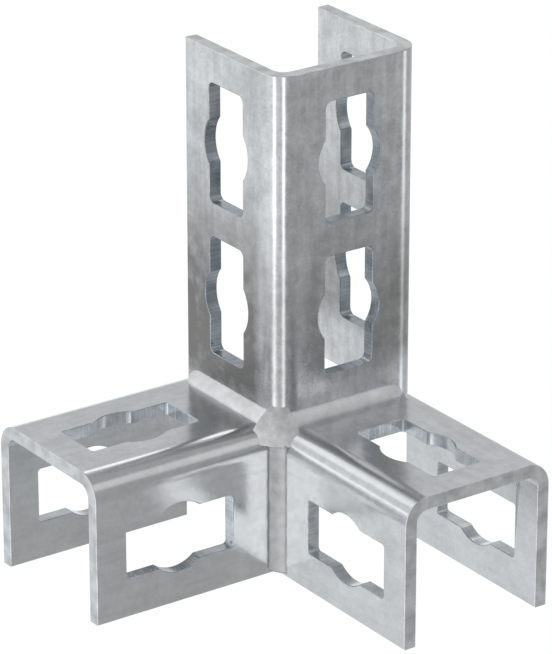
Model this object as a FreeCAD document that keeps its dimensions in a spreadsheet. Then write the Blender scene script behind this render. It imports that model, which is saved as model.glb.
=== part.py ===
"""Corner fitting for 41 mm strut: three folded, slotted channels welded round an open corner.

Frame: millimetres, +Z up. The fitting stands on the free edges of its two arms at Z = 0,
with the origin below the middle of its box. The upright runs up +Z, one arm runs out along
+X (the right arm) and the other along -Y (the left arm). The outer faces of the webs and of
the flanges beside them meet in one point, which is called the corner below.
"""
import math
import os

import FreeCAD, Part
import Sketcher

Vector = FreeCAD.Vector
Rotation = FreeCAD.Rotation
Constraint = Sketcher.Constraint

doc = FreeCAD.newDocument("strut_angle_fitting")

# Driving dimensions. Every sketch and feature reads them from the sheet.
SIZES = {
    # the folded channel, which takes a strut 41 mm square
    "channel_width": 50.0,       # across the web, outside
    "channel_depth": 45.0,       # from the web's outer face to the flanges' free edges
    "wall": 4.0,
    "bend_radius": 3.5,          # inside the fold
    "upright_length": 108.5,
    "arm_length": 61.3,
    # the slots: one row down the middle of the web and one in each flange
    "slot_length": 36.0,
    "slot_width": 16.5,
    "eye_diameter": 21.3,        # the round eye in the middle of each slot
    "slot_setback": 25.0,        # from the web's outer face to the row in a flange
    "end_margin": 10.0,          # from a channel's outer end to its first slot
    "slot_gap": 10.3,            # metal between two slots of a row
    "upright_slots": 2,          # in each row
    "arm_slots": 1,
    "upright_corner": 2.0,       # radius in the corners of the upright's slots
    "arm_corner": 1.0,           # and of the arms' slots
    # the beads: round runs of weld, each laid in the corner between two channels
    "left_radius": 2.8,
    "left_out": 0.6,             # from the corner to the bead's axis, out along the left arm
    "left_up": 1.7,              # and up the upright
    "right_radius": 2.4,
    "right_out": 0.1,            # from the corner to the bead's axis, out along the right arm
    "right_up": 1.4,             # and up the upright
    "front_radius": 3.3,
    "front_right": 1.7,          # from the corner to the bead's axis, along the right arm
    "front_inset": 0.4,          # and in behind the right arm's face
    "left_start": 4.0,           # from the corner to the left bead's near end
    "bead_start": 0.8,           # and to the near ends of the other two, inside the puddle
    "near_dome": 2.2,            # length of a bead's blunt near end
    "bead_setback": 6.0,         # from a top bead's far end to the arm's far face
    "dome_length": 5.5,          # of the drawn-out far end of a top bead
    "front_setback": 0.4,        # from the front bead's lower end to the arms' lower edges
    "front_dome": 0.8,           # length of that end's dome
    # the puddle: the low cap of weld where the three beads run together
    "puddle_face": 7.5,          # radius of its outer face
    "puddle_inset": 3.3,         # from the corner to that face's centre, along each arm and down
    "puddle_root": 5.4,          # how far from the corner the weld has run in
}

sheet = doc.addObject("Spreadsheet::Sheet", "sizes")
for row, (alias, value) in enumerate(SIZES.items(), start=1):
    sheet.set(f"A{row}", alias)
    sheet.set(f"B{row}", str(value))
    sheet.setAlias(f"B{row}", alias)
doc.recompute()

# Formulas that more than one feature needs, in the names of the sheet.
CORNER_X = "( channel_width - arm_length ) / 2"
CORNER_Y = "( arm_length - channel_width ) / 2"
CORNER_Z = "channel_depth"
SLOT_PITCH = "slot_length + slot_gap"


def bind(target, path, formula):
    """Bind a property or a constraint to a formula, whose words are parted by spaces."""
    words = (f"<<sizes>>.{word}" if word in SIZES else word for word in formula.split())
    target.setExpression(path, " ".join(words))


def size(alias):
    return float(sheet.get(alias))


def place(target, x, y, z, rotation=Rotation()):
    """Turn an object and bind its position to three formulas."""
    target.Placement = FreeCAD.Placement(Vector(), rotation)
    for axis, formula in (("x", x), ("y", y), ("z", z)):
        bind(target, f".Placement.Base.{axis}", formula)


def base_feature(body, role):
    """One of a body's own base planes or axes."""
    return next(item for item in body.Origin.OriginFeatures if item.Role == role)


def new_sketch(body, name, plane):
    sketch = body.newObject("Sketcher::SketchObject", name)
    sketch.AttachmentSupport = [(base_feature(body, plane), "")]
    sketch.MapMode = "FlatFace"
    return sketch


def dimension(sketch, alias, *rule, name=None):
    """A driving dimension bound to a size, and named after it if it has no other name."""
    index = sketch.addConstraint(Constraint(*rule, size(alias)))
    sketch.renameConstraint(index, name or alias)
    bind(sketch, f"Constraints.{name or alias}", alias)


class Outline:
    """A closed outline in a sketch, drawn anticlockwise or back from point to point."""

    def __init__(self, sketch, x, y):
        self.sketch = sketch
        self.point = Vector(x, y, 0)
        self.ends = []

    def line(self, rule, x, y):
        """A straight edge to a point. The rule is Horizontal or Vertical."""
        end = Vector(x, y, 0)
        index = self.sketch.addGeometry(Part.LineSegment(self.point, end), False)
        self.sketch.addConstraint(Constraint(rule, index))
        self.ends.append((index, 1, 2))
        self.point = end
        return index

    def arc(self, centre_x, centre_y, x, y, anticlockwise=True):
        """A round edge about a centre to a point."""
        centre = Vector(centre_x, centre_y, 0)
        end = Vector(x, y, 0)
        angles = [math.atan2(p.y - centre.y, p.x - centre.x) for p in (self.point, end)]
        ends = (1, 2)
        if not anticlockwise:
            angles.reverse()
            ends = (2, 1)
        circle = Part.Circle(centre, Vector(0, 0, 1), (end - centre).Length)
        index = self.sketch.addGeometry(Part.ArcOfCircle(circle, *angles), False)
        self.ends.append((index, *ends))
        self.point = end
        return index

    def close(self, smooth):
        """Join each edge to the next: in a tangent if the test says so, else point to point."""
        for (one, _, tail), (two, head, _) in zip(self.ends, self.ends[1:] + self.ends[:1]):
            rule = "Tangent" if smooth(one, two) else "Coincident"
            self.sketch.addConstraint(Constraint(rule, one, tail, two, head))


# A sketch's own edges have numbers below zero: -1 is its X axis and -2 its Y axis.
ORIGIN = (-1, 1)     # the start point of the X axis


def section_sketch(body):
    """The folded section: web along Y with its outer face at X = 0, flanges back to -X."""
    depth, width, wall = size("channel_depth"), size("channel_width"), size("wall")
    inner = size("bend_radius")
    outer = inner + wall
    sketch = new_sketch(body, "section", "XY_Plane")
    outline = Outline(sketch, -depth, 0)
    front = outline.line("Horizontal", -outer, 0)
    front_bend = outline.arc(-outer, outer, 0, outer)
    web = outline.line("Vertical", 0, width - outer)
    back_bend = outline.arc(-outer, width - outer, -outer, width)
    back = outline.line("Horizontal", -depth, width)
    outline.line("Vertical", -depth, width - wall)
    outline.line("Horizontal", -outer, width - wall)
    back_hollow = outline.arc(-outer, width - outer, -wall, width - outer, anticlockwise=False)
    outline.line("Vertical", -wall, outer)
    front_hollow = outline.arc(-outer, outer, -outer, wall, anticlockwise=False)
    inside = outline.line("Horizontal", -depth, wall)
    outline.line("Vertical", -depth, 0)
    bends = {front_bend, back_bend, back_hollow, front_hollow}
    outline.close(smooth=lambda one, two: one in bends or two in bends)

    sketch.addConstraint(Constraint("Coincident", front_bend, 3, front_hollow, 3))
    sketch.addConstraint(Constraint("Coincident", back_bend, 3, back_hollow, 3))
    sketch.addConstraint(Constraint("Equal", front_hollow, back_hollow))
    sketch.addConstraint(Constraint("PointOnObject", front, 1, -1))
    sketch.addConstraint(Constraint("PointOnObject", web, 1, -2))
    sketch.addConstraint(Constraint("Vertical", front, 1, back, 2))
    dimension(sketch, "channel_depth", "DistanceX", front, 1, *ORIGIN)
    dimension(sketch, "channel_width", "DistanceY", front, 1, back, 2)
    dimension(sketch, "wall", "DistanceY", front, 1, inside, 2)
    dimension(sketch, "bend_radius", "Radius", front_hollow)
    return sketch


def slot_sketch(body, name, plane, across, height, corner):
    """A slot with a round eye in its middle, its length along Z.

    It is drawn about the sketch's origin, which two formulas then set on the plane: across
    from the Z axis, along +Y on the web's plane and +X on a flange's, and height up it.
    """
    side, end = size("slot_width") / 2, size("slot_length") / 2
    eye, round_end = size("eye_diameter") / 2, size(corner)
    notch = math.sqrt(eye ** 2 - side ** 2)
    straight, flat = end - round_end, side - round_end
    sketch = new_sketch(body, name, plane)
    bind(sketch, ".AttachmentOffset.Base.x", across)
    bind(sketch, ".AttachmentOffset.Base.y", height)
    outline = Outline(sketch, side, -straight)
    right_low = outline.line("Vertical", side, -notch)
    right_eye = outline.arc(0, 0, side, notch)
    right_high = outline.line("Vertical", side, straight)
    corners = [outline.arc(flat, straight, flat, end)]
    top = outline.line("Horizontal", -flat, end)
    corners.append(outline.arc(-flat, straight, -side, straight))
    left_high = outline.line("Vertical", -side, notch)
    left_eye = outline.arc(0, 0, -side, -notch)
    left_low = outline.line("Vertical", -side, -straight)
    corners.append(outline.arc(-flat, -straight, -flat, -end))
    bottom = outline.line("Horizontal", flat, -end)
    corners.append(outline.arc(flat, -straight, side, -straight))
    outline.close(smooth=lambda one, two: one in corners or two in corners)

    middle = (right_eye, 3)
    sketch.addConstraint(Constraint("Coincident", *middle, left_eye, 3))
    sketch.addConstraint(Constraint("Coincident", *middle, *ORIGIN))
    sketch.addConstraint(Constraint("Equal", right_eye, left_eye))
    for other in corners[1:]:
        sketch.addConstraint(Constraint("Equal", corners[0], other))
    sketch.addConstraint(Constraint("Symmetric", right_low, 1, left_high, 1, *middle))
    sketch.addConstraint(Constraint("Vertical", right_low, 1, right_high, 1))
    sketch.addConstraint(Constraint("Vertical", left_low, 1, left_high, 1))
    dimension(sketch, "slot_width", "DistanceX", left_low, 1, right_low, 1)
    dimension(sketch, "slot_length", "DistanceY", bottom, 1, top, 1)
    dimension(sketch, corner, "Radius", corners[0])
    dimension(sketch, "eye_diameter", "Diameter", right_eye)
    return sketch


def channel(name, length, slots, corner):
    """A folded channel standing on Z = 0, with its rows of slots counted from its top end."""
    body = doc.addObject("PartDesign::Body", name)
    blank = body.newObject("PartDesign::Pad", "blank")
    blank.Profile = section_sketch(body)
    bind(blank, "Length", length)
    first = f"{length} - end_margin - slot_length / 2"
    pockets = []
    for row, plane, across in (
        ("web_slot", "YZ_Plane", "channel_width / 2"),
        ("flange_slot", "XZ_Plane", "-1 * slot_setback"),
    ):
        pocket = body.newObject("PartDesign::Pocket", row)
        pocket.Profile = slot_sketch(body, f"{row}_outline", plane, across, first, corner)
        pocket.Midplane = True
        pocket.Type = "ThroughAll"
        pockets.append(pocket)
    if size(slots) > 1:
        rows = body.newObject("PartDesign::LinearPattern", "slot_rows")
        rows.Originals = pockets
        rows.Direction = (base_feature(body, "Z_Axis"), [""])
        rows.Reversed = True
        rows.Mode = "Spacing"
        bind(rows, "Offset", SLOT_PITCH)
        bind(rows, "Occurrences", slots)
        body.Tip = rows
    return body


def dome_arcs(radius, dome):
    """Two tangent arcs that draw half an oval: one at the bead's side, the other at its nose.

    Returns the radius of the nose, which is an ellipse's at that point, and of the side, and
    how far out from the axis and back from the tip the two arcs meet.
    """
    nose = radius ** 2 / dome
    flank = ((dome - nose) ** 2 + radius ** 2 - nose ** 2) / (2 * (radius - nose))
    share = flank / (flank - nose)
    return nose, flank, (radius - flank) * (1 - share), dome + (nose - dome) * share


def bead(name, radius, run, far_dome):
    """A round run of weld up +Z from the origin, with a dome at both ends.

    The first alias of run is a length, and the others are taken off it.
    """
    side = size(radius)
    length = size(run[0]) - sum(size(alias) for alias in run[1:])
    body = doc.addObject("PartDesign::Body", name)
    sketch = new_sketch(body, "profile", "XZ_Plane")
    outline = Outline(sketch, 0, 0)

    dome = size("near_dome")
    nose, flank, out, back = dome_arcs(side, dome)
    near_nose = outline.arc(0, nose, out, back)
    outline.arc(side - flank, dome, side, dome)
    straight = outline.line("Vertical", side, length - size(far_dome))
    dome = size(far_dome)
    nose, flank, out, back = dome_arcs(side, dome)
    outline.arc(side - flank, length - dome, out, length - back)
    far_nose = outline.arc(0, length - nose, 0, length)
    axis = outline.line("Vertical", 0, 0)
    outline.close(smooth=lambda one, two: axis not in (one, two))

    sketch.addConstraint(Constraint("Coincident", axis, 2, *ORIGIN))
    sketch.addConstraint(Constraint("PointOnObject", near_nose, 3, -2))
    sketch.addConstraint(Constraint("PointOnObject", far_nose, 3, -2))
    dimension(sketch, radius, "DistanceX", *ORIGIN, straight, 1)
    dimension(sketch, "near_dome", "DistanceY", *ORIGIN, straight, 1)
    dimension(sketch, far_dome, "DistanceY", straight, 2, far_nose, 2, name="far_dome")
    for label, edge, alias in (("near_nose", near_nose, "near_dome"),
                               ("far_nose", far_nose, far_dome)):
        index = sketch.addConstraint(Constraint("Radius", edge, side ** 2 / size(alias)))
        sketch.renameConstraint(index, label)
        bind(sketch, f"Constraints.{label}", f"{radius} * {radius} / {alias}")
    index = sketch.addConstraint(Constraint("DistanceY", *ORIGIN, far_nose, 2, length))
    sketch.renameConstraint(index, "run")
    bind(sketch, "Constraints.run", " - ".join(run))

    solid = body.newObject("PartDesign::Revolution", "solid")
    solid.Profile = sketch
    solid.ReferenceAxis = (base_feature(body, "Z_Axis"), [""])
    return body


def carve(name, blank, neighbours):
    """Cut a lump of weld back to the faces of what it lies against."""
    for number, neighbour in enumerate(neighbours, start=1):
        cut = doc.addObject("Part::Cut", f"{name}_{number}")
        cut.Base = blank
        cut.Tool = neighbour
        blank = cut
    blank.Label = name
    return blank


# The three channels. The turns send the web's face up and the channel's length along an arm.
ALONG_LEFT_ARM = Rotation(Vector(0, 0, 1), Vector(-1, 0, 0), Vector(0, -1, 0), "ZXY")
ALONG_RIGHT_ARM = Rotation(Vector(0, 0, 1), Vector(0, -1, 0), Vector(1, 0, 0), "ZXY")

upright = channel("upright_channel", "upright_length", "upright_slots", "upright_corner")
place(upright, CORNER_X, CORNER_Y, f"{CORNER_Z} - wall")

left_arm = channel("left_arm_channel", "arm_length", "arm_slots", "arm_corner")
place(left_arm, CORNER_X, CORNER_Y, CORNER_Z, ALONG_LEFT_ARM)

right_arm = channel("right_arm_channel", "arm_length", "arm_slots", "arm_corner")
place(right_arm, CORNER_X, f"{CORNER_Y} + channel_width", CORNER_Z, ALONG_RIGHT_ARM)

channels = [upright, left_arm, right_arm]

# The weld: a puddle in the corner, and a bead out from it along each of the three seams.
# The puddle is what a wide ball, sunk in behind the corner, shares with a smaller one at it.
puddle_face = doc.addObject("Part::Sphere", "puddle_face")
bind(puddle_face, "Radius", "puddle_face")
place(puddle_face, f"{CORNER_X} - puddle_inset", f"{CORNER_Y} + puddle_inset",
      f"{CORNER_Z} - puddle_inset")
puddle_root = doc.addObject("Part::Sphere", "puddle_root")
bind(puddle_root, "Radius", "puddle_root")
place(puddle_root, CORNER_X, CORNER_Y, CORNER_Z)
puddle = doc.addObject("Part::MultiCommon", "puddle")
puddle.Shapes = [puddle_face, puddle_root]

left_bead = bead("left_bead", "left_radius", ("channel_width", "bead_setback", "left_start"),
                 "dome_length")
place(left_bead, f"{CORNER_X} - left_start", f"{CORNER_Y} - left_out",
      f"{CORNER_Z} + left_up", Rotation(Vector(0, 0, 1), Vector(-1, 0, 0)))

right_bead = bead("right_bead", "right_radius", ("channel_width", "bead_setback", "bead_start"),
                  "dome_length")
place(right_bead, f"{CORNER_X} + right_out", f"{CORNER_Y} + bead_start",
      f"{CORNER_Z} + right_up", Rotation(Vector(0, 0, 1), Vector(0, 1, 0)))

front_bead = bead("front_bead", "front_radius", ("channel_depth", "front_setback", "bead_start"),
                  "front_dome")
place(front_bead, f"{CORNER_X} + front_right", f"{CORNER_Y} + front_inset",
      f"{CORNER_Z} - bead_start", Rotation(Vector(0, 0, 1), Vector(0, 0, -1)))

# The two arms meet on one upright line, and the front bead stays on the outside of it.
inside_corner = doc.addObject("Part::Box", "inside_corner")
bind(inside_corner, "Length", "2 * front_radius")
bind(inside_corner, "Width", "2 * front_radius")
bind(inside_corner, "Height", "channel_depth")
place(inside_corner, f"{CORNER_X} - 2 * front_radius", CORNER_Y, "0")

nodes = {
    "upright_channel": upright,
    "left_arm_channel": left_arm,
    "right_arm_channel": right_arm,
    "corner_weld": carve("corner_weld", puddle, channels),
    "left_weld": carve("left_weld", left_bead, [*channels, puddle]),
    "right_weld": carve("right_weld", right_bead, [*channels, puddle]),
    "front_weld": carve("front_weld", front_bead, [*channels, puddle, inside_corner]),
}
doc.recompute()

for item in doc.Objects:
    assert not {"Invalid", "Error"} & set(item.State), f"{item.Name} failed"
for name, item in nodes.items():
    assert not item.Shape.isNull() and item.Shape.isValid(), f"{name} has no valid shape"

os.makedirs("parts", exist_ok=True)
for name, item in nodes.items():
    item.Shape.exportStep(f"parts/{name}.step")
    print(name, len(item.Shape.Solids), "solid,", round(item.Shape.Volume, 1), "mm3")
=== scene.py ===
# %% [markdown]
# # A welded strut fitting in galvanised steel
# Three folded channels meet at right angles in one corner, and weld beads hold them together.
# The lesson makes each channel as the workshop does: a flat blank with its slots is cut first,
# and then folded. After that come the welds, the zinc finish and a plain studio.

# %% Load the frame
import math
import random

import bmesh
import bpy
from mathutils import Matrix, Vector


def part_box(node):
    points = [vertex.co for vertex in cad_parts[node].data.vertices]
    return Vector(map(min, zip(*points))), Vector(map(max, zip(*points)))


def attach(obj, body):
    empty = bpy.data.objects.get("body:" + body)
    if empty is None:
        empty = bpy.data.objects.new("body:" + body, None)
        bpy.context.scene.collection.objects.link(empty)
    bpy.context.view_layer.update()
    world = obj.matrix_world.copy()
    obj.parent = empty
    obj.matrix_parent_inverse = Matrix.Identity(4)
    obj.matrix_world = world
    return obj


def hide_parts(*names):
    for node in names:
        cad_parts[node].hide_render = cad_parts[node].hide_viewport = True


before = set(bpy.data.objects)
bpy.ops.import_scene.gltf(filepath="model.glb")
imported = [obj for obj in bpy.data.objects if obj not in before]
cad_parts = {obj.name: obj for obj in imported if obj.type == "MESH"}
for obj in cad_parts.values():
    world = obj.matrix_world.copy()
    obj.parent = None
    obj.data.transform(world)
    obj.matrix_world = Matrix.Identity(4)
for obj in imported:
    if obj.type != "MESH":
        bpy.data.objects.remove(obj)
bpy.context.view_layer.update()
print("nodes:", sorted(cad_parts))

# %% [markdown]
# ## Sizes
# The outer sizes come from the frame, so the visible sheets always fill the space that the
# model gives them. Only what the frame's boxes can't tell is typed here: the sheet, its fold
# and its slots. Blender counts in metres, so a length is written as a number of millimetres.

# %% Sizes
MM = 0.001
WALL = 4 * MM
FOLD_INSIDE = 3.5 * MM
FOLD = FOLD_INSIDE + WALL        # radius on the outside of a fold
RIM = 0.3 * MM                   # the worn rounding along every cut edge

SLOT_LENGTH = 36 * MM
SLOT_WIDTH = 16.5 * MM
EYE_DIAMETER = 21.3 * MM
SLOT_SETBACK = 25 * MM           # from the web's outer face to the row of slots in a flange
END_MARGIN = 10 * MM             # from a channel's outer end to its first slot
SLOT_GAP = 10.3 * MM

upright_low, upright_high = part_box("upright_channel")
left_low, left_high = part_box("left_arm_channel")
right_low, right_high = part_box("right_arm_channel")
CORNER = Vector((upright_high.x, upright_low.y, left_high.z))
WIDTH = upright_high.y - upright_low.y
DEPTH = upright_high.x - upright_low.x
print("corner in mm:", [round(c / MM, 2) for c in CORNER], "width", round(WIDTH / MM, 2))

# %% [markdown]
# ## Node trees as sums
# A procedural finish is arithmetic on textures. A wire below is an output socket that takes part
# in sums: each operator adds a Math node, so that a finish reads like a formula.

# %% Wires and trees
class Wire:
    """An output socket that can be added to, multiplied and so on."""

    def __init__(self, tree, socket):
        self.tree = tree
        self.socket = socket

    def math(self, operation, first, second):
        return self.tree.node("ShaderNodeMath", {"operation": operation}, {0: first, 1: second})

    def __add__(self, other):
        return self.math("ADD", self, other)

    def __radd__(self, other):
        return self.math("ADD", other, self)

    def __sub__(self, other):
        return self.math("SUBTRACT", self, other)

    def __rsub__(self, other):
        return self.math("SUBTRACT", other, self)

    def __mul__(self, other):
        return self.math("MULTIPLY", self, other)

    def __rmul__(self, other):
        return self.math("MULTIPLY", other, self)


class Tree:
    """The node tree of a material or a world, emptied and ready to fill."""

    def __init__(self, owner):
        owner.use_nodes = True
        self.nodes = owner.node_tree.nodes
        self.links = owner.node_tree.links
        self.nodes.clear()

    def node(self, kind, settings=None, sockets=None, output=0):
        """Add a node: first its settings, then the values and links of its sockets."""
        node = self.nodes.new(kind)
        for name, value in (settings or {}).items():
            setattr(node, name, value)
        for name, value in (sockets or {}).items():
            if isinstance(value, Wire):
                self.links.new(value.socket, node.inputs[name])
            else:
                node.inputs[name].default_value = value
        return Wire(self, node.outputs[output]) if node.outputs else None

    def blend(self, share, first, second):
        """A colour part of the way from the first to the second."""
        return self.node("ShaderNodeMix", {"data_type": "RGBA"}, {0: share, 6: first, 7: second},
                         output=2)

    def surface(self, shader):
        self.node("ShaderNodeOutputMaterial", {}, {"Surface": shader})


# %% [markdown]
# ## The camera
# The photograph is taken with a long lens from the front right, a little above the fitting. The
# place and the lens are worked out from the fitting's edges in the picture.

# %% Camera
CAMERA_PLACE = Vector((889.8, -624.0, 535.8)) * MM
CAMERA_AIM = Vector((-2.1, 2.85, 78.0)) * MM
CAMERA_LENS = 232.7              # millimetres, for a picture 36 mm along its long side

camera_data = bpy.data.cameras.new("camera")
camera_data.lens = CAMERA_LENS
camera = bpy.data.objects.new("camera", camera_data)
camera.location = CAMERA_PLACE
camera.rotation_euler = (CAMERA_AIM - CAMERA_PLACE).to_track_quat("-Z", "Y").to_euler()
bpy.context.scene.collection.objects.link(camera)
bpy.context.scene.camera = camera
bpy.context.scene.view_settings.view_transform = "Standard"
print("camera", round((CAMERA_AIM - CAMERA_PLACE).length, 3), "m from its aim")

# %% [markdown]
# ## Floor and surroundings
# Metal shows what stands around it, so the studio matters as much as the finish. The camera sees
# a plain white floor with a trace of the fitting's shadow, and white all round. The metal sees
# only a share of that white, and for the rest a grey room that is brighter on some sides. The
# floor is clear for the metal, as a sheet of glass is, so that lamps below it brighten the faces
# that look down.

# %% Floor
WHITE = (1.0, 1.0, 1.0, 1.0)
FLOOR_HALF = 3.0                 # half the floor's width in metres
FLOOR_COLOUR = (0.80, 0.80, 0.80, 1.0)
FLOOR_WHITE = 0.90               # how much of what the camera sees of the floor is plain white
FLOOR_GLOW = 1.10                # its strength, which with the lit floor comes to 1, or white

floor_mesh = bpy.data.meshes.new("floor")
floor_mesh.from_pydata(
    [(x * FLOOR_HALF, y * FLOOR_HALF, 0.0) for x, y in ((-1, -1), (1, -1), (1, 1), (-1, 1))],
    [], [(0, 1, 2, 3)])
floor = bpy.data.objects.new("floor", floor_mesh)
bpy.context.scene.collection.objects.link(floor)

floor_material = bpy.data.materials.new("pale_floor")
tree = Tree(floor_material)
seen_by_camera = tree.node("ShaderNodeLightPath", output="Is Camera Ray")
seen_by_metal = tree.node("ShaderNodeLightPath", output="Is Glossy Ray")
pale = tree.node("ShaderNodeBsdfDiffuse", {}, {"Color": FLOOR_COLOUR})
clear = tree.node("ShaderNodeBsdfTransparent", {}, {"Color": WHITE})
white = tree.node("ShaderNodeEmission", {}, {"Color": WHITE, "Strength": FLOOR_GLOW})
glazed = tree.node("ShaderNodeMixShader", {}, {0: seen_by_metal, 1: pale, 2: clear})
tree.surface(tree.node("ShaderNodeMixShader", {},
                       {0: seen_by_camera * FLOOR_WHITE, 1: glazed, 2: white}))
floor_mesh.materials.append(floor_material)
print("floor", 2 * FLOOR_HALF, "m wide")

# %% Room
METAL_SHARE = 0.35               # how much of the white background the metal sees
ROOM_TINT = (0.95, 0.98, 1.0)

# how bright the room is towards +X and -X, +Y and -Y, and up and down
WALLS = {
    "X": (0.06, 0.65),
    "Y": (0.23, 1.05),
    "Z": (0.15, 0.38),
}

world = bpy.data.worlds.new("room")
bpy.context.scene.world = world
tree = Tree(world)
seen_by_camera = tree.node("ShaderNodeLightPath", output="Is Camera Ray")
seen_by_metal = tree.node("ShaderNodeLightPath", output="Is Glossy Ray")
seen_through = tree.node("ShaderNodeLightPath", output="Is Transmission Ray")
white_share = seen_by_camera + (seen_by_metal + seen_through) * METAL_SHARE
direction = tree.node("ShaderNodeTexCoord", output="Generated")
brightness = 0.0
for axis, (ahead, behind) in WALLS.items():
    part = tree.node("ShaderNodeSeparateXYZ", {}, {"Vector": direction}, output=axis)
    for toward, wall in ((part, ahead), (-1.0 * part, behind)):
        facing = tree.node("ShaderNodeMath", {"operation": "MAXIMUM"}, {0: toward, 1: 0.0})
        brightness = brightness + facing * facing * wall
tinted = tree.node("ShaderNodeVectorMath", {"operation": "SCALE"},
                   {0: ROOM_TINT, "Scale": brightness})
room = tree.node("ShaderNodeBackground", {}, {"Color": tinted, "Strength": 1.0})
white = tree.node("ShaderNodeBackground", {}, {"Color": WHITE, "Strength": 1.0})
mixed = tree.node("ShaderNodeMixShader", {}, {0: white_share, 1: room, 2: white})
tree.node("ShaderNodeOutputWorld", {}, {"Surface": mixed})
print("the metal sees", METAL_SHARE, "of the white, and for the rest the grey room")

# %% [markdown]
# ## Lamps
# A fold shows a lamp as a bright streak along it, as narrow as the lamp. Each lamp below is given
# by the direction in which it stands, seen from the fitting, and by its own width, height and
# brightness. The two strips in front make the two streaks down the upright's fold.

# %% Lamps
LAMP_TARGET = Vector((0, 0, 60)) * MM

# azimuth from +X and elevation in degrees, distance, width and height in metres, glow
LAMPS = {
    "front_strip": (-75, -20, 1.5, 0.30, 1.00, 1.2),
    "camera_strip": (-34, -20, 1.5, 0.24, 1.00, 1.55),
    "left_line": (-139, 13, 1.5, 0.60, 0.12, 0.8),
    "left_high": (-160, 38, 1.5, 0.55, 0.32, 0.55),
    "back_box": (138, 41, 1.5, 0.40, 0.30, 1.1),
    "back_low": (148, -5, 1.5, 0.40, 0.60, 0.5),
    "right_box": (40, 36, 1.5, 0.60, 0.65, 0.35),
    "right_strip": (60, -20, 1.5, 0.40, 1.00, 0.7),
}


def add_lamp(name, azimuth, elevation, distance, width, height, glow):
    """A soft box turned to the fitting."""
    a, e = math.radians(azimuth), math.radians(elevation)
    outward = Vector((math.cos(a) * math.cos(e), math.sin(a) * math.cos(e), math.sin(e)))
    data = bpy.data.lights.new(name, "AREA")
    data.shape = "RECTANGLE"
    data.size = width
    data.size_y = height
    data.energy = glow * math.pi * width * height
    lamp = bpy.data.objects.new(name, data)
    lamp.location = LAMP_TARGET + outward * distance
    lamp.rotation_euler = (-outward).to_track_quat("-Z", "Y").to_euler()
    lamp.visible_camera = False
    bpy.context.scene.collection.objects.link(lamp)


for name, settings in LAMPS.items():
    add_lamp(name, *settings)
print("lamps:", ", ".join(LAMPS))

# %% [markdown]
# ## Hot-dip galvanised steel
# Zinc dries in soft clouds and blotches, drawn out a little along the sheet's rolling: lighter
# and duller here, darker and glossier there. Noise at four sizes makes them, and it drives
# colour and roughness together, so that the two agree. Low on the upright the zinc is painted
# darker, warm grey and duller: partly staining and partly painted shade, where the arms keep
# light off the upright. It is strongest on the front flange and weaker along the front fold.

# %% Tones of the zinc
ZINC_DARK = (0.55, 0.56, 0.57, 1.0)
ZINC_LIGHT = (0.83, 0.845, 0.86, 1.0)
# painted shade and staining: the warm grey that the lower upright is blended towards
SHADE_AND_STAIN = (0.24, 0.235, 0.23, 1.0)

# the walls of the slots, first in the upright and then in the arms: bluish grey and darker than
# the sheet, as painted shade inside the holes, darkest in the upright
UPRIGHT_SLOT_SHADE = ((0.25, 0.28, 0.31, 1.0), (0.56, 0.60, 0.64, 1.0))
ARM_SLOT_SHADE = ((0.42, 0.45, 0.48, 1.0), (0.76, 0.79, 0.82, 1.0))

# noise: its scale, detail and roughness, and the levels that become 0 and 1
CLOUD = (60.0, 3.0, 0.55, 0.36, 0.64)
BLOTCH = (260.0, 3.0, 0.60, 0.34, 0.66)
STREAK = (420.0, 2.0, 0.50, 0.34, 0.66)
SPECK = (1100.0, 2.0, 0.60, 0.30, 0.70)
SMUDGE = (190.0, 5.0, 0.65, 0.32, 0.64)
CUT_STRIPE = (220.0, 2.0, 0.60, 0.25, 0.75)
CUT_CLOUD = (200.0, 2.0, 0.50, 0.34, 0.66)

# roughness where the tone is darkest, and how much it rises to the lightest
SHEET_ROUGHNESS = (0.15, 0.10)
CUT_ROUGHNESS = (0.20, 0.08)
print("sheet roughness from", SHEET_ROUGHNESS[0], "to", sum(SHEET_ROUGHNESS))

# %% Noise

def noise(tree, place, scale, detail=3.0, rough=0.55, dimensions="3D"):
    return tree.node("ShaderNodeTexNoise", {"noise_dimensions": dimensions},
                     {"Vector": place, "Scale": scale, "Detail": detail, "Roughness": rough})


def spread(tree, wire, low, high):
    """Stretch the part of a noise between two levels over 0 to 1."""
    return tree.node("ShaderNodeMapRange", {"clamp": True},
                     {"Value": wire, "From Min": low, "From Max": high})


def patches(tree, place, scale, detail, rough, low, high, dimensions="3D"):
    """Noise with its levels spread over 0 to 1."""
    return spread(tree, noise(tree, place, scale, detail, rough, dimensions), low, high)


def roughened(tone, roughness):
    """The roughness that goes with a tone, since lighter zinc is duller."""
    start, rise = roughness
    return start + tone * rise


# %% Painted shade and staining low on the upright
SHADE_STAIN_FROM = (49 * MM, 63 * MM)   # it sets in between these heights
SHADE_STAIN_TO = (126 * MM, 66 * MM)    # and fades out between these
SHADE_STAIN_EVEN = 0.48                 # how much of it lies everywhere
SHADE_STAIN_PATCHY = 0.30               # and how much more comes in smudges
SHADE_STAIN_DULLS = 0.08                # the roughness that it adds
SHADE_STAIN_EXTRA = 0.60                # how much more of it the front flange has
SHADE_STAIN_LOWER = 9 * MM              # how much lower it sets in there
FRONT_DEPTH = 14 * MM              # and how far behind the front face this ends
FOLD_SHARE = 0.45                  # how much of it is left on the front fold
FOLD_REACH = (8 * MM, 12 * MM)     # the fold ends between these, along X and Y together


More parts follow.
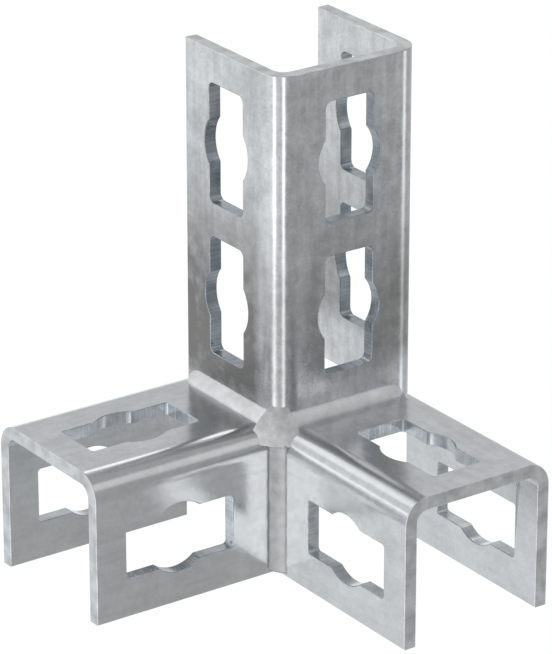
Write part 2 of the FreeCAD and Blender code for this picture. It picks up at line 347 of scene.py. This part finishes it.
def shade_and_stain_share(tree, place):
    """How much painted shade and staining lies on each spot of the upright."""
    out, back, height = [tree.node("ShaderNodeSeparateXYZ", {}, {"Vector": place}, output=axis)
                         for axis in "XYZ"]
    front = spread(tree, back, CORNER.y + FRONT_DEPTH, CORNER.y)
    lowered = height + front * SHADE_STAIN_LOWER
    above, below = [tree.node("ShaderNodeMapRange", {"interpolation_type": "SMOOTHSTEP"},
                              {"Value": level, "From Min": none, "From Max": full})
                    for level, (none, full) in ((lowered, SHADE_STAIN_FROM), (height, SHADE_STAIN_TO))]
    corner = CORNER.x - CORNER.y
    off_fold = spread(tree, out - back, corner - FOLD_REACH[0], corner - FOLD_REACH[1])
    smudge = patches(tree, place, *SMUDGE)
    return (above * below * (SHADE_STAIN_EVEN + smudge * SHADE_STAIN_PATCHY)
            * (1.0 + front * SHADE_STAIN_EXTRA) * (FOLD_SHARE + off_fold * (1 - FOLD_SHARE)))


print("patina between", round(SHADE_STAIN_FROM[0] / MM), "and", round(SHADE_STAIN_TO[0] / MM), "mm")

# %% Zinc on sheets
UPRIGHT_AXIS, LEFT_AXIS, RIGHT_AXIS = 2, 1, 0   # the axis that each channel runs along
STREAK_PACE = 0.12                 # how slowly the streaks change along the rolling
TONE_MIX = (0.26, 0.30, 0.24, 0.20)             # cloud, blotch, streak and speck
SHEET_BUMP = (0.12, 0.03 * MM)     # strength and height
BUMP_MIX = (0.6, 0.4)              # blotch and speck


def zinc(name, along, contrast):
    """Galvanised sheet whose blotches are drawn out along one axis. The upright gets painted
    shade and staining low down.
    """
    material = bpy.data.materials.new(name)
    tree = Tree(material)
    streaked = [1.0, 1.0, 1.0]
    streaked[along] = STREAK_PACE
    place = tree.node("ShaderNodeTexCoord", output="Object")
    drawn = tree.node("ShaderNodeMapping", {}, {"Vector": place, "Scale": streaked})
    cloud, blotch, speck = [patches(tree, place, *kind) for kind in (CLOUD, BLOTCH, SPECK)]
    streak = patches(tree, drawn, *STREAK)
    mixed = sum(part * share
                for part, share in zip((cloud, blotch, streak, speck), TONE_MIX))
    tone = (mixed - 0.5) * contrast + 0.5
    bump = tree.node("ShaderNodeBump", {}, {
        "Strength": SHEET_BUMP[0], "Distance": SHEET_BUMP[1],
        "Height": blotch * BUMP_MIX[0] + speck * BUMP_MIX[1]})
    colour = tree.blend(tone, ZINC_DARK, ZINC_LIGHT)
    roughness = roughened(tone, SHEET_ROUGHNESS)
    if along == UPRIGHT_AXIS:
        # painted shade and staining darken the lower upright
        shade_and_stain = shade_and_stain_share(tree, place)
        colour = tree.blend(shade_and_stain, colour, SHADE_AND_STAIN)
        roughness = roughness + shade_and_stain * SHADE_STAIN_DULLS
    tree.surface(tree.node("ShaderNodeBsdfPrincipled", {}, {
        "Base Color": colour, "Metallic": 1.0, "Roughness": roughness, "Normal": bump}))
    return material


# %% Zinc on cut faces
EDGE_STRIPES = 0.2                 # share of stripes on the outer edges, the rest being clouds
SLOT_STRIPES = 0.5                 # and on the walls of the slots


def cut_zinc(name, dark, light, striped):
    """The cut faces of a sheet, with fine stripes straight across its thickness.

    The map holds the blank's own coordinates, which don't change through the thickness. So
    noise on the map becomes stripes on the cut faces.
    """
    material = bpy.data.materials.new(name)
    tree = Tree(material)
    on_blank = tree.node("ShaderNodeTexCoord", output="UV")
    place = tree.node("ShaderNodeTexCoord", output="Object")
    stripe = patches(tree, on_blank, *CUT_STRIPE, "2D")
    cloud = patches(tree, place, *CUT_CLOUD)
    tone = stripe * striped + cloud * (1.0 - striped)
    tree.surface(tree.node("ShaderNodeBsdfPrincipled", {}, {
        "Base Color": tree.blend(tone, dark, light),
        "Metallic": 1.0,
        "Roughness": roughened(tone, CUT_ROUGHNESS),
    }))
    return material


# %% [markdown]
# ## The blank
# A filled 2D curve cuts holes by itself and can round its own rims, which a plain extrusion
# can't. Each slot is one closed outline: two straight ends with small corners, and an eye that
# bulges out of both long sides.

# %% Outlines
ARC_STEP = math.radians(6)
RIM_STEPS = 2                    # how finely the rims are rounded


def arc(centre, radius, start, end):
    """Points on a round stretch of an outline, both ends included. Angles are in radians."""
    steps = max(1, round(abs(end - start) / ARC_STEP))
    angles = [start + (end - start) * i / steps for i in range(steps + 1)]
    return [(centre[0] + radius * math.cos(a), centre[1] + radius * math.sin(a)) for a in angles]


def slot_outline(middle, corner):
    """One slot with its eye, its length along the blank's second axis."""
    x, y = middle
    side, end, eye = SLOT_WIDTH / 2, SLOT_LENGTH / 2, EYE_DIAMETER / 2
    mouth = math.acos(side / eye)
    flat, straight = side - corner, end - corner
    quarter = math.pi / 2
    points = arc(middle, eye, -mouth, mouth)
    points += arc((x + flat, y + straight), corner, 0, quarter)
    points += arc((x - flat, y + straight), corner, quarter, 2 * quarter)
    points += arc(middle, eye, 2 * quarter - mouth, 2 * quarter + mouth)
    points += arc((x - flat, y - straight), corner, 2 * quarter, 3 * quarter)
    points += arc((x + flat, y - straight), corner, 3 * quarter, 4 * quarter)
    return points


def cut_blank(name, width, length, slots, corner):
    """A flat sheet, its outer face up, with rounded rims all round and in the slots."""
    curve = bpy.data.curves.new(name, "CURVE")
    curve.dimensions = "2D"
    curve.fill_mode = "BOTH"
    curve.extrude = WALL / 2 - RIM
    curve.bevel_depth = RIM
    curve.bevel_resolution = RIM_STEPS
    curve.offset = -RIM
    outer = [(0, 0), (width, 0), (width, length), (0, length)]
    for outline in [outer] + [slot_outline(middle, corner)[::-1] for middle in slots]:
        spline = curve.splines.new("POLY")
        spline.points.add(len(outline) - 1)
        for point, (x, y) in zip(spline.points, outline):
            point.co = (x, y, 0, 1)
        spline.use_cyclic_u = True
    sheet = bpy.data.objects.new(name, curve)
    bpy.context.scene.collection.objects.link(sheet)
    graph = bpy.context.evaluated_depsgraph_get()
    mesh = bpy.data.meshes.new_from_object(sheet.evaluated_get(graph))
    bpy.data.objects.remove(sheet)
    return mesh


# %% [markdown]
# ## Folding
# The press bends the blank along two lines. Here every point keeps its place along the channel
# and its depth in the sheet, and only its way across the blank is wound round the two folds.
# The blank is first sliced where it will bend, so that the folds come out round. Bright metal
# shows the least fault in smoothed shading, so the direction of the surface is worked out on
# the blank, where it is simple, and is wound round with it.

# %% Folding
FOLD_SLICES = 18
SMOOTH_UP_TO = math.cos(math.radians(40))
MAP_UNIT = 0.1                   # one unit of the blank's texture map, in metres
FOLD_RUN = FOLD * math.pi / 2    # length of a fold, measured on the outside
FLANGE_RUN = DEPTH - FOLD
WEB_RUN = WIDTH - 2 * FOLD
BLANK_WIDTH = 2 * (FLANGE_RUN + FOLD_RUN) + WEB_RUN
WEB_MIDDLE = BLANK_WIDTH / 2
FRONT_ROW = DEPTH - SLOT_SETBACK
BACK_ROW = BLANK_WIDTH - FRONT_ROW

LARGE_FACE, CUT_EDGE, SLOT_WALL = 0, 1, 2   # places in a channel's list of materials
LEVEL_FROM = 0.99                # a face of the blank is a large one from this much Z
MERGE_WITHIN = 0.001 * MM
SLICE_WITHIN = 0.0001 * MM
print("blank", round(BLANK_WIDTH / MM, 2), "mm wide along the outer face")


def wound(across, depth):
    """Where a point of the blank lands in the channel's section."""
    to_fold = FLANGE_RUN
    to_web = to_fold + FOLD_RUN
    to_back = to_web + WEB_RUN
    to_flange = to_back + FOLD_RUN
    reach = FOLD - depth
    if across <= to_fold:
        return across - DEPTH, depth
    if across <= to_web:
        turn = (across - to_fold) / FOLD
        return reach * math.sin(turn) - FOLD, FOLD - reach * math.cos(turn)
    if across <= to_back:
        return -depth, FOLD + across - to_web
    if across <= to_flange:
        turn = (across - to_back) / FOLD
        return reach * math.cos(turn) - FOLD, WIDTH - FOLD + reach * math.sin(turn)
    return -FOLD - (across - to_flange), WIDTH - depth


def turned(across):
    """How far round the folds have brought the sheet here, in radians."""
    past_first = (across - FLANGE_RUN) / FOLD
    past_second = (across - FLANGE_RUN - FOLD_RUN - WEB_RUN) / FOLD
    return sum(min(max(turn, 0.0), math.pi / 2) for turn in (past_first, past_second))


def is_large(face):
    return abs(face.normal.z) > LEVEL_FROM


def surface_direction(face, vertex):
    """Which way the flat blank's surface faces at one corner of a face.

    The two large faces stay exactly flat. Along a cut edge, faces that meet at a small angle
    share their direction, and the rim turns it up to the large face in a quarter circle.
    """
    if is_large(face):
        return Vector((0, 0, math.copysign(1, face.normal.z)))
    own = Vector((face.normal.x, face.normal.y, 0)).normalized()
    side = Vector((0, 0, 0))
    for other in vertex.link_faces:
        level = Vector((other.normal.x, other.normal.y, 0))
        if not is_large(other) and level.normalized().dot(own) > SMOOTH_UP_TO:
            side += level.normalized() * other.calc_area()
    rise = min(max((abs(vertex.co.z) - WALL / 2 + RIM) / RIM, 0.0), 1.0)
    return (side.normalized() * math.sqrt(1 - rise * rise)
            + Vector((0, 0, math.copysign(rise, vertex.co.z))))


# %% Channel from a blank
def in_slot(face, length):
    """Whether a cut face lies in a slot and not along the blank's outer edges."""
    across, along, _ = face.calc_center_median()
    return min(across, BLANK_WIDTH - across, along, length - along) > 2 * RIM


def fold(mesh, length):
    """Slice a blank at its folds, wind it into a channel along +Z, and return its normals."""
    form = bmesh.new()
    form.from_mesh(mesh)
    bmesh.ops.remove_doubles(form, verts=form.verts, dist=MERGE_WITHIN)
    for start in (FLANGE_RUN, FLANGE_RUN + FOLD_RUN + WEB_RUN):
        for i in range(FOLD_SLICES + 1):
            across = start + FOLD_RUN * i / FOLD_SLICES
            bmesh.ops.bisect_plane(form, geom=form.verts[:] + form.edges[:] + form.faces[:],
                                   plane_co=(across, 0, 0), plane_no=(1, 0, 0),
                                   dist=SLICE_WITHIN)
    bmesh.ops.recalc_face_normals(form, faces=form.faces)
    blank_map = form.loops.layers.uv.verify()
    normals = []
    for face in form.faces:
        if is_large(face):
            face.material_index = LARGE_FACE
        else:
            face.material_index = SLOT_WALL if in_slot(face, length) else CUT_EDGE
        face.smooth = True
        for corner in face.loops:
            across, along, _ = corner.vert.co
            corner[blank_map].uv = (across / MAP_UNIT, along / MAP_UNIT)
            turn = turned(across)
            side, lengthwise, up = surface_direction(face, corner.vert)
            normals.append(Vector((side * math.cos(turn) + up * math.sin(turn),
                                   side * math.sin(turn) - up * math.cos(turn), lengthwise)))
    for vertex in form.verts:
        across, along, up = vertex.co
        x, y = wound(across, WALL / 2 - up)
        vertex.co = (x, y, along)
    form.to_mesh(mesh)
    form.free()
    return normals


def add_channel(node, length, slots, corner, axes, base, along, contrast, slot_shade_tones):
    """Cut, fold and place one channel, which then stands for its node."""
    pitch = SLOT_LENGTH + SLOT_GAP
    first = length - END_MARGIN - SLOT_LENGTH / 2
    rows = [(across, first - i * pitch)
            for across in (FRONT_ROW, WEB_MIDDLE, BACK_ROW) for i in range(slots)]
    mesh = cut_blank(node + "_sheet", BLANK_WIDTH, length, rows, corner)
    mesh.materials.clear()
    mesh.materials.append(zinc("zinc_on_" + node, along, contrast))
    mesh.materials.append(cut_zinc("cut_edge_of_" + node, ZINC_DARK, ZINC_LIGHT, EDGE_STRIPES))
    # the slot walls get the darker tones, which are painted shade inside the holes
    mesh.materials.append(cut_zinc("shaded_slot_wall_of_" + node, *slot_shade_tones, SLOT_STRIPES))
    normals = fold(mesh, length)
    turn = Matrix(axes).transposed()
    mesh.transform(Matrix.Translation(base) @ turn.to_4x4())
    mesh.normals_split_custom_set([turn @ normal for normal in normals])
    mesh.update()
    piece = bpy.data.objects.new(node + "_sheet", mesh)
    bpy.context.scene.collection.objects.link(piece)
    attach(piece, "root")
    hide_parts(node)
    print(node, "has", len(mesh.vertices), "vertices")


# %% [markdown]
# ## The three channels
# Each is placed by three directions: out of its web, across its web and along its length. The
# upright has a second slot in each row, and its slots have rounder corners.

# %% Channels
X, Y, Z = Vector((1, 0, 0)), Vector((0, 1, 0)), Vector((0, 0, 1))
UPRIGHT_CORNER = 2.0 * MM
ARM_CORNER = 1.0 * MM
UPRIGHT_CONTRAST = 1.6           # how strongly the zinc's tones differ on each channel
LEFT_CONTRAST = 0.7
RIGHT_CONTRAST = 0.8

add_channel("upright_channel", upright_high.z - upright_low.z, 2, UPRIGHT_CORNER,
            (X, Y, Z), CORNER - WALL * Z, UPRIGHT_AXIS, UPRIGHT_CONTRAST, UPRIGHT_SLOT_SHADE)
add_channel("left_arm_channel", left_high.y - left_low.y, 1, ARM_CORNER,
            (Z, -X, -Y), CORNER, LEFT_AXIS, LEFT_CONTRAST, ARM_SLOT_SHADE)
add_channel("right_arm_channel", right_high.x - right_low.x, 1, ARM_CORNER,
            (Z, -Y, X), CORNER + WIDTH * Y, RIGHT_AXIS, RIGHT_CONTRAST, ARM_SLOT_SHADE)

# %% [markdown]
# ## Welds
# The welds lie under the same zinc, which runs smoother over them and is duller there. Their
# tones are painted light and shade: the two seams and the cap, which face up, are painted
# lighter, and the bead down the front, which faces sideways, is painted darker.

# %% Zinc on welds
WELD_CLOUD = (240.0, 3.0, 0.55, 0.30, 0.70)
WELD_SWELL = (300.0, 1.0, 0.4)   # scale, detail and roughness of the noise that dents them
WELD_BUMP = (0.5, 0.12 * MM)
WELD_ROUGHNESS = (0.34, 0.08)
# painted light: the lighter tones of the upward-facing seams
LIT_WELD_DARK = (0.68, 0.685, 0.69, 1.0)
LIT_WELD_LIGHT = (0.92, 0.925, 0.93, 1.0)
# painted shade: the darker tones of the bead down the front
SHADED_FRONT_WELD_DARK = (0.35, 0.35, 0.355, 1.0)
SHADED_FRONT_WELD_LIGHT = (0.52, 0.525, 0.53, 1.0)
# painted light: the lighter tones of the cap
LIT_CAP_DARK = (0.56, 0.56, 0.56, 1.0)
LIT_CAP_LIGHT = (0.94, 0.94, 0.94, 1.0)


def weld_zinc(name, dark, light):
    """Zinc over weld: duller than on the sheet, and gently uneven."""
    material = bpy.data.materials.new(name)
    tree = Tree(material)
    place = tree.node("ShaderNodeTexCoord", output="Object")
    cloud = patches(tree, place, *WELD_CLOUD)
    bump = tree.node("ShaderNodeBump", {}, {
        "Strength": WELD_BUMP[0], "Distance": WELD_BUMP[1],
        "Height": noise(tree, place, *WELD_SWELL)})
    tree.surface(tree.node("ShaderNodeBsdfPrincipled", {}, {
        "Base Color": tree.blend(cloud, dark, light),
        "Metallic": 1.0,
        "Roughness": roughened(cloud, WELD_ROUGHNESS),
        "Normal": bump,
    }))
    return material


# %% [markdown]
# A bead is a nearly flat band between the two sheets that it joins. It is drawn ring by ring
# along the seam and closes with a round end. Each is as wide as the model's bead, apart from the
# left one, which is a little narrower. Three waves of random length make its width uneven.

# %% Beads
BEAD_START = 4.0 * MM            # how far from the corner a bead begins
BEAD_SINK = 1.2 * MM             # how deep its hidden sides lie in the sheets
BEAD_BULGE = 0.58                # 0.5 would make its face quite flat
BEAD_RINGS = 48                  # sections along a bead
BEAD_STEPS = 8                   # steps across its face
BEAD_TIP = 0.05                  # share of its width that is left at its very end
BEAD_UNEVEN = 0.05               # share of its width that comes and goes
BEAD_WAVES = 3
WAVE_PACE = (0.5, 1.6)           # radians in each millimetre


def bead_ring(legs, scale):
    """One section of a bead, as lengths along the two sheets that it joins."""
    first, second = legs[0] * scale, legs[1] * scale
    ring = [(-BEAD_SINK, -BEAD_SINK), (first, -BEAD_SINK)]
    for i in range(BEAD_STEPS + 1):
        t = i / BEAD_STEPS
        bulge = 2 * t * (1 - t) * BEAD_BULGE
        ring.append((first * ((1 - t) ** 2 + bulge), second * (t ** 2 + bulge)))
    ring.append((-BEAD_SINK, second))
    return ring


def add_weld_piece(node, form, material):
    """Close a weld's mesh and let it stand for its node."""
    bmesh.ops.recalc_face_normals(form, faces=form.faces)
    mesh = bpy.data.meshes.new(node + "_run")
    form.to_mesh(mesh)
    form.free()
    mesh.shade_smooth()
    mesh.materials.append(material)
    piece = bpy.data.objects.new(node + "_run", mesh)
    bpy.context.scene.collection.objects.link(piece)
    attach(piece, "root")
    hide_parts(node)
    print(node, "has", len(mesh.vertices), "vertices")


def add_bead(node, along, sides, legs, length, end, material, seed):
    """A bead from the corner along one direction, between two sheets."""
    draw = random.Random(seed)
    waves = [(draw.uniform(*WAVE_PACE), draw.uniform(0, 2 * math.pi))
             for _ in range(BEAD_WAVES)]
    form = bmesh.new()
    rings = []
    for i in range(BEAD_RINGS + 1):
        run = (length - BEAD_START) * math.sin(math.pi / 2 * i / BEAD_RINGS)
        left = (length - BEAD_START - run) / end
        closing = max(math.sqrt(max(1 - (1 - min(left, 1)) ** 2, 0)), BEAD_TIP)
        wave = sum(math.sin(run / MM * pace + shift) for pace, shift in waves) / BEAD_WAVES
        scale = closing * (1 - BEAD_UNEVEN * (1 + wave) / 2)
        centre = CORNER + along * (BEAD_START + run)
        rings.append([form.verts.new(centre + sides[0] * a + sides[1] * b)
                      for a, b in bead_ring(legs, scale)])
    for ring, following in zip(rings, rings[1:]):
        for j in range(len(ring)):
            k = (j + 1) % len(ring)
            form.faces.new((ring[j], ring[k], following[k], following[j]))
    form.faces.new(rings[0])
    form.faces.new(rings[-1])
    add_weld_piece(node, form, material)


# %% [markdown]
# The cap closes the corner where the three folds and the three beads meet. It looks the same
# from all three sides, so a third of its rim is typed and then turned twice. The three lengths
# of each point add up to the same, which is what keeps the cap flat.

# %% Cap
# two points on a fold and one under a bead, counted from the corner
CAP_RIM = (
    (-4.33 * MM, -0.70 * MM, 5.63 * MM),
    (-0.70 * MM, -4.33 * MM, 5.63 * MM),
    (2.60 * MM, 2.60 * MM, -4.60 * MM),
)
CAP_SINK = 3.0 * MM              # how deep its hidden point lies
CAP_ROUND = 0.4 * MM
CAP_ROUND_STEPS = 3
FLAT_WITHIN = math.radians(1)


def add_cap(node, material):
    """A flat cap on the corner, with a hidden point behind it."""
    form = bmesh.new()
    points = [(-CAP_SINK, -CAP_SINK, -CAP_SINK)]
    for first in range(3):
        for point in CAP_RIM:
            points.append(point[first:] + point[:first])
    for out, front, up in points:
        form.verts.new(CORNER + Vector((out, -front, up)))
    bmesh.ops.convex_hull(form, input=form.verts)
    bmesh.ops.dissolve_limit(form, angle_limit=FLAT_WITHIN, verts=form.verts, edges=form.edges)
    bmesh.ops.bevel(form, geom=form.edges[:], offset=CAP_ROUND, segments=CAP_ROUND_STEPS,
                    affect="EDGES", profile=0.5)
    add_weld_piece(node, form, material)


# %% Place the welds
SEAM_END = 5 * MM                # length of the round end on the two seams
FRONT_END = 0.8 * MM             # and at the foot of the front bead
LEFT_NARROWED = (0.85, 0.88)     # share of the model's bead, along the web and up the upright

# the seams get the lit tones and the front bead the shaded ones, painted light and shade
lit_seam_zinc = weld_zinc("lit_zinc_on_weld", LIT_WELD_DARK, LIT_WELD_LIGHT)
shaded_front_zinc = weld_zinc("shaded_zinc_on_front_weld", SHADED_FRONT_WELD_DARK, SHADED_FRONT_WELD_LIGHT)

low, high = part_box("left_weld")
left_legs = (LEFT_NARROWED[0] * (CORNER.y - low.y), LEFT_NARROWED[1] * (high.z - CORNER.z))
add_bead("left_weld", -X, (-Y, Z), left_legs,
         CORNER.x - low.x, SEAM_END, lit_seam_zinc, seed=11)
low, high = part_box("right_weld")
add_bead("right_weld", Y, (X, Z), (high.x - CORNER.x, high.z - CORNER.z),
         high.y - CORNER.y, SEAM_END, lit_seam_zinc, seed=12)
low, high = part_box("front_weld")
add_bead("front_weld", -Z, (X, -Y), (high.x - CORNER.x, CORNER.y - low.y),
         CORNER.z - low.z, FRONT_END, shaded_front_zinc, seed=13)
# the cap gets lit tones, painted light
add_cap("corner_weld", weld_zinc("lit_zinc_on_cap", LIT_CAP_DARK, LIT_CAP_LIGHT))
